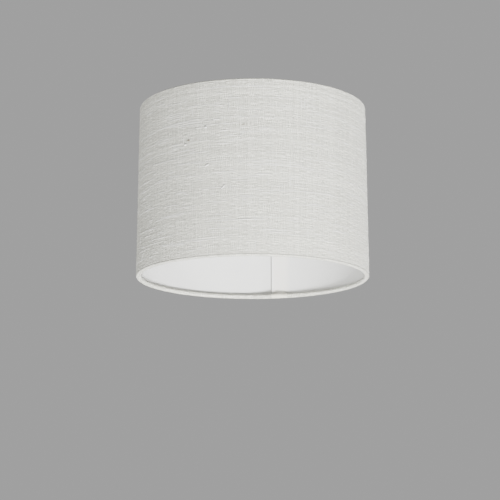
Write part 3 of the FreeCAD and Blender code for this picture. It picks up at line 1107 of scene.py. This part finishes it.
# %% Loose yarn
yarn_finish, tree, shader = new_material("loose_yarn", (0.8, 0.8, 0.77), 0.95)
where = add_node(tree, "ShaderNodeTexCoord").outputs["Object"]
fibre = noise_of(tree, stretched(tree, where, (700.0, 700.0, 5200.0)), 1.0, 2.0)
tree.links.new(
    mix_colour(tree, remap(tree, fibre, 0.3, 0.7), (0.66, 0.65, 0.61, 1), (0.86, 0.86, 0.83, 1)),
    shader.inputs["Base Color"],
)
shader.inputs["Sheen Weight"].default_value = 0.2
bump_into(tree, shader, fibre, 0.00008)
print("loose yarn nodes", len(tree.nodes))

# %% [markdown]
# Fine grain and dust are shared by the plastic and the painted metal, so they are one group: a slow
# unevenness, a fine grain, and a thin layer of dust that settles on faces that look up.

# %% Grain and dust as a node group
grain, given, result = new_group(
    "grain_and_dust",
    [("Place", "NodeSocketVector", None), ("Grain Size", "NodeSocketFloat", 0.0005)],
    ["Slow", "Fine", "Dust"],
)
fine_scale = maths(grain, "DIVIDE", 1.0, given["Grain Size"])
slow = noise_of(grain, given["Place"], 16.0, 3.0)
fine = noise_of(grain, given["Place"], fine_scale, 2.0)
facing = add_node(
    grain, "ShaderNodeSeparateXYZ", {0: add_node(grain, "ShaderNodeNewGeometry").outputs["Normal"]}
).outputs[2]
speckle = remap(grain, noise_of(grain, given["Place"], 900.0, 4.0), 0.45, 0.7)
dust = maths(grain, "MULTIPLY", remap(grain, facing, 0.4, 0.95), speckle)
grain.links.new(slow, result["Slow"])
grain.links.new(fine, result["Fine"])
grain.links.new(dust, result["Dust"])


def grained(name, low, high, roughness, grain_size, bump, dust=0.0):
    """A painted or moulded finish: two close tones, fine grain in the surface, dust on top faces."""
    material, tree, shader = new_material(name, high, roughness[0])
    where = add_node(tree, "ShaderNodeTexCoord").outputs["Object"]
    grains = add_group(tree, grain, {"Place": where, "Grain Size": grain_size})
    tones = mix_colour(tree, remap(tree, grains["Slow"], 0.3, 0.7), (*low, 1), (*high, 1))
    dusty = tinted(tree, grains["Dust"], dust, tones, (0.55, 0.53, 0.5))
    tree.links.new(dusty, shader.inputs["Base Color"])
    tree.links.new(remap(tree, grains["Slow"], 0.3, 0.7, *roughness), shader.inputs["Roughness"])
    bump_into(tree, shader, grains["Fine"], bump)
    return material, tree, shader, dusty


print("grain nodes", len(grain.nodes))

# %% [markdown]
# The other finishes. The liner is satin white sheet. The wire and the washer are powder coated, with
# that finish's slight orange peel. The tape is a clear film that has gone a little yellow.

# %% Liner, powder coat and tape
liner_finish, liner_tree, liner_shader, plain = grained(
    "white_liner", (0.82, 0.82, 0.80), (0.86, 0.86, 0.84), (0.42, 0.52), 0.0016, 0.00003
)
coat_finish = grained(
    "white_powder_coat", (0.74, 0.74, 0.72), (0.80, 0.80, 0.78), (0.30, 0.40), 0.0009, 0.00004, 0.35
)[0]
tape_finish = grained(
    "film_tape", (0.78, 0.76, 0.66), (0.83, 0.82, 0.74), (0.22, 0.34), 0.0020, 0.00002
)[0]
print("finishes", [finish.name for finish in (liner_finish, coat_finish, tape_finish)])

# %% [markdown]
# The liner is plain sheet except where something lies behind it or on it. Its lap is warm, with a
# painted highlight on the lip and a joint darkened for dust and glue and as a painted shadow of its
# step. The weave is pressed faintly through it all over, and the corners where it stops at the rings
# are darkened, a painted shade. These are laid over the satin white one by one.

# %% The liner's lap, print, dust and painted light
PRINT_DEPTH = 0.06
liner_where = add_node(liner_tree, "ShaderNodeTexCoord").outputs["Object"]
liner_lap = add_group(liner_tree, strip, {"Place": liner_where})
warmed = tinted(liner_tree, liner_lap["Inside"], 0.85, plain, (0.99, 0.965, 0.89))
# painted highlight on the sheet's cut lip
lip_highlighted = tinted(liner_tree, liner_lap["Lip Highlight"], 0.9, warmed, (1.0, 1.0, 0.97))

liner_parts = add_node(liner_tree, "ShaderNodeSeparateXYZ", {0: liner_where}).outputs
round_azimuth = maths(liner_tree, "ARCTAN2", liner_parts[1], liner_parts[0])
round_drum = maths(liner_tree, "MULTIPLY", round_azimuth, LOW_R)
liner_place = vector_of(liner_tree, round_drum, liner_parts[2])
pressed = add_group(liner_tree, weave, {**pitches, "Cloth Place": liner_place})
print_shade = remap(liner_tree, pressed["Tone"], 0.0, 1.0, 0.0, PRINT_DEPTH)
printed = mix_colour(liner_tree, print_shade, lip_highlighted, (0.55, 0.55, 0.54, 1))

# the joint darkened for dust and glue and as a painted shadow of the step
seam_dust_and_shaded = tinted(liner_tree, liner_lap["Joint Dust And Shade"], 0.6, printed, (0.40, 0.39, 0.37))
below_top = maths(liner_tree, "SUBTRACT", HEIGHT, liner_parts[2])
from_rim = maths(liner_tree, "MINIMUM", liner_parts[2], below_top)
# painted shade in the corners where the liner stops at the rings
corner_shade_mask = remap(liner_tree, from_rim, 0.0060, 0.0046)
corner_shaded = tinted(liner_tree, corner_shade_mask, 0.30, seam_dust_and_shaded, (0.36, 0.35, 0.33))
liner_tree.links.new(corner_shaded, liner_shader.inputs["Base Color"])
print("liner nodes", len(liner_tree.nodes))

# %% [markdown]
# Straw is flax stem: dark, dull and a little mottled. Its bits are a millimetre or two long, so one
# fine noise gives both their colour and their relief.

# %% Straw
straw_finish, tree, shader = new_material("straw", (0.22, 0.19, 0.15), 0.8)
straw_tone = noise_of(tree, add_node(tree, "ShaderNodeTexCoord").outputs["Object"], 1400.0, 2.0)
tree.links.new(
    mix_colour(tree, straw_tone, (0.13, 0.11, 0.08, 1), (0.30, 0.27, 0.21, 1)),
    shader.inputs["Base Color"],
)
bump_into(tree, shader, straw_tone, 0.00005)
print("straw nodes", len(tree.nodes))

# %% [markdown]
# The new pieces get their finishes by hand. The frame's own pieces keep their shape, and get theirs
# by name: tapes are film, the liner is satin sheet, and the rest is coated wire and steel. The
# frame's plain linen gets a coat too, but the cloth stands in for it, so it isn't seen.

# %% Finishes onto pieces
straw.data.materials.append(straw_finish)
linen.data.materials.append(linen_finish)
slubs.data.materials.append(yarn_finish)
fibres.data.materials.append(yarn_finish)
welds.data.materials.append(coat_finish)
for name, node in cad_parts.items():
    if "tape" in name:
        finish = tape_finish
    elif name == "liner_panel":
        finish = liner_finish
    else:
        finish = coat_finish
    node.data.materials.clear()
    node.data.materials.append(finish)
print("frame pieces with a finish", len(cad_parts))

# %% [markdown]
# Nothing on a shade moves, so every new piece rides on the one body. The cloth takes the place of the
# frame's plain linen, and goes with its slubs, straw and fibres as one sheet. It is glued and
# stretched over both rings, which is why it can't sag.

# %% Who rides on what
for piece in (linen, slubs, straw, fibres, welds):
    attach(piece, "root")
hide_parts("linen_cover")
print("sheet in mm", round((PANEL_WIDTH + FOLD_WIDTH) * 1000, 1), "round the drum")
